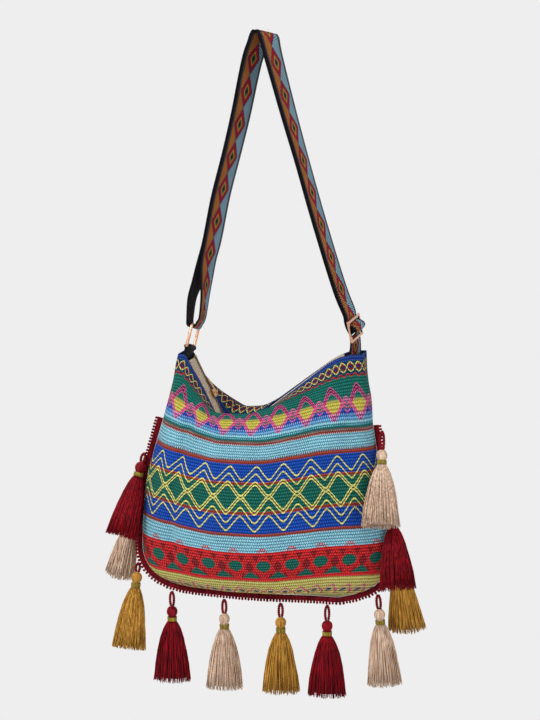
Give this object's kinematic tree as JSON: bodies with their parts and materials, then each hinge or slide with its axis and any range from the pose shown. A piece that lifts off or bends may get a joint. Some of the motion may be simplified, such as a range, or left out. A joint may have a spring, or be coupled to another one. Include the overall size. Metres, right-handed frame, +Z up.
{
  "type": "tasselled shoulder bag",
  "caption": "Slouchy zipped cloth shoulder bag in woven bands, with yarn tassels on a braid trim and an adjustable doubled webbing strap.",
  "frame": {"origin": "underside of the doubled strap where it hangs over the shoulder", "axes": "+Z up, +X toward the strap slider along the bag's width, the front faces -Y"},
  "size_m": [0.419, 0.1395, 0.8354],
  "materials": {
    "front_cloth": "jacquard cloth with crochet-like rows in bands of colour",
    "back_cloth": "jacquard cloth with crochet-like rows in bands of colour",
    "zip_tape": "beige woven tape",
    "zip_coil": "tan nylon coil",
    "gold_metal": "polished",
    "rose_gold": "polished rose gold plate",
    "braid": "crimson gimp braid with picots",
    "webbing": "jacquard webbing, diamonds between triangles, black edges",
    "black_webbing": "black woven webbing",
    "red_yarn": "silky red yarn",
    "beige_yarn": "silky beige yarn",
    "gold_yarn": "silky old gold yarn",
    "olive_yarn": "olive binding yarn"
  },
  "bodies": {
    "bag": {"front_panel": "front_cloth", "back_panel": "back_cloth", "zip_tape_front": "zip_tape", "zip_tape_back": "zip_tape", "zip_coil_front": "zip_coil", "zip_coil_back": "zip_coil", "zip_end_stop": "gold_metal", "braid_trim": "braid", "ring_tab": "black_webbing", "strap_webbing": "webbing", "strap_slider": "rose_gold"},
    "ring": {"strap_ring": "rose_gold"},
    "slider": {"zip_slider": "gold_metal"},
    "pull": {"zip_pull": "gold_metal"},
    "tassel_01": {"tassel_01_red_cord": "red_yarn", "tassel_01_red_hank": "red_yarn", "tassel_01_red_band": "olive_yarn"},
    "tassel_02": {"tassel_02_beige_cord": "red_yarn", "tassel_02_beige_hank": "beige_yarn", "tassel_02_beige_band": "olive_yarn"},
    "tassel_03": {"tassel_03_gold_cord": "red_yarn", "tassel_03_gold_hank": "gold_yarn", "tassel_03_gold_band": "olive_yarn"},
    "tassel_04": {"tassel_04_red_cord": "red_yarn", "tassel_04_red_hank": "red_yarn", "tassel_04_red_band": "olive_yarn"},
    "tassel_05": {"tassel_05_beige_cord": "red_yarn", "tassel_05_beige_hank": "beige_yarn", "tassel_05_beige_band": "olive_yarn"},
    "tassel_06": {"tassel_06_gold_cord": "red_yarn", "tassel_06_gold_hank": "gold_yarn", "tassel_06_gold_band": "olive_yarn"},
    "tassel_07": {"tassel_07_red_cord": "red_yarn", "tassel_07_red_hank": "red_yarn", "tassel_07_red_band": "olive_yarn"},
    "tassel_08": {"tassel_08_beige_cord": "red_yarn", "tassel_08_beige_hank": "beige_yarn", "tassel_08_beige_band": "olive_yarn"},
    "tassel_09": {"tassel_09_gold_cord": "red_yarn", "tassel_09_gold_hank": "gold_yarn", "tassel_09_gold_band": "olive_yarn"},
    "tassel_10": {"tassel_10_red_cord": "red_yarn", "tassel_10_red_hank": "red_yarn", "tassel_10_red_band": "olive_yarn"},
    "tassel_11": {"tassel_11_beige_cord": "red_yarn", "tassel_11_beige_hank": "beige_yarn", "tassel_11_beige_band": "olive_yarn"}
  },
  "joints": [
    {"name": "ring_swing", "type": "hinge", "parent": "bag", "child": "ring", "pos_m": [-0.095, 0.0012, -0.386], "axis": [0, 0.9848, -0.174], "range_deg": [-8, 0]},
    {"name": "zip_slide", "type": "slide", "parent": "bag", "child": "slider", "axis": [0.4331, 0, -0.9013], "range_m": [-0.042, 0.015]},
    {"name": "zip_pull_swing", "type": "hinge", "parent": "slider", "child": "pull", "pos_m": [-0.06157, 0, -0.44183], "axis": [0, 1, 0], "range_deg": [0, 165]},
    {"name": "tassel_01_swing", "type": "hinge", "parent": "bag", "child": "tassel_01", "pos_m": [-0.15451, -0.0029, -0.52319], "axis": [0, 1, 0], "range_deg": [0, 50]},
    {"name": "tassel_02_swing", "type": "hinge", "parent": "bag", "child": "tassel_02", "pos_m": [-0.16566, 0.0029, -0.5842], "axis": [0, 1, 0], "range_deg": [0, 50]},
    {"name": "tassel_03_swing", "type": "hinge", "parent": "bag", "child": "tassel_03", "pos_m": [-0.16347, -0.0029, -0.66623], "axis": [-1, 0, 0], "range_deg": [0, 50]},
    {"name": "tassel_04_swing", "type": "hinge", "parent": "bag", "child": "tassel_04", "pos_m": [-0.12034, 0, -0.70253], "axis": [-1, 0, 0], "range_deg": [-50, 50]},
    {"name": "tassel_05_swing", "type": "hinge", "parent": "bag", "child": "tassel_05", "pos_m": [-0.05215, 0, -0.70991], "axis": [-1, 0, 0], "range_deg": [-50, 50]},
    {"name": "tassel_06_swing", "type": "hinge", "parent": "bag", "child": "tassel_06", "pos_m": [0.02081, 0, -0.71191], "axis": [-1, 0, 0], "range_deg": [-50, 50]},
    {"name": "tassel_07_swing", "type": "hinge", "parent": "bag", "child": "tassel_07", "pos_m": [0.08038, 0, -0.7121], "axis": [-1, 0, 0], "range_deg": [-50, 50]},
    {"name": "tassel_08_swing", "type": "hinge", "parent": "bag", "child": "tassel_08", "pos_m": [0.14483, 0, -0.69553], "axis": [-1, 0, 0], "range_deg": [-15, 50]},
    {"name": "tassel_09_swing", "type": "hinge", "parent": "bag", "child": "tassel_09", "pos_m": [0.16764, 0.0029, -0.6369], "axis": [0, -1, 0], "range_deg": [0, 50]},
    {"name": "tassel_10_swing", "type": "hinge", "parent": "bag", "child": "tassel_10", "pos_m": [0.16036, -0.0029, -0.56957], "axis": [0, -1, 0], "range_deg": [0, 50]},
    {"name": "tassel_11_swing", "type": "hinge", "parent": "bag", "child": "tassel_11", "pos_m": [0.14864, -0.0029, -0.48643], "axis": [-1, 0, 0], "range_deg": [0, 50]}
  ]
}
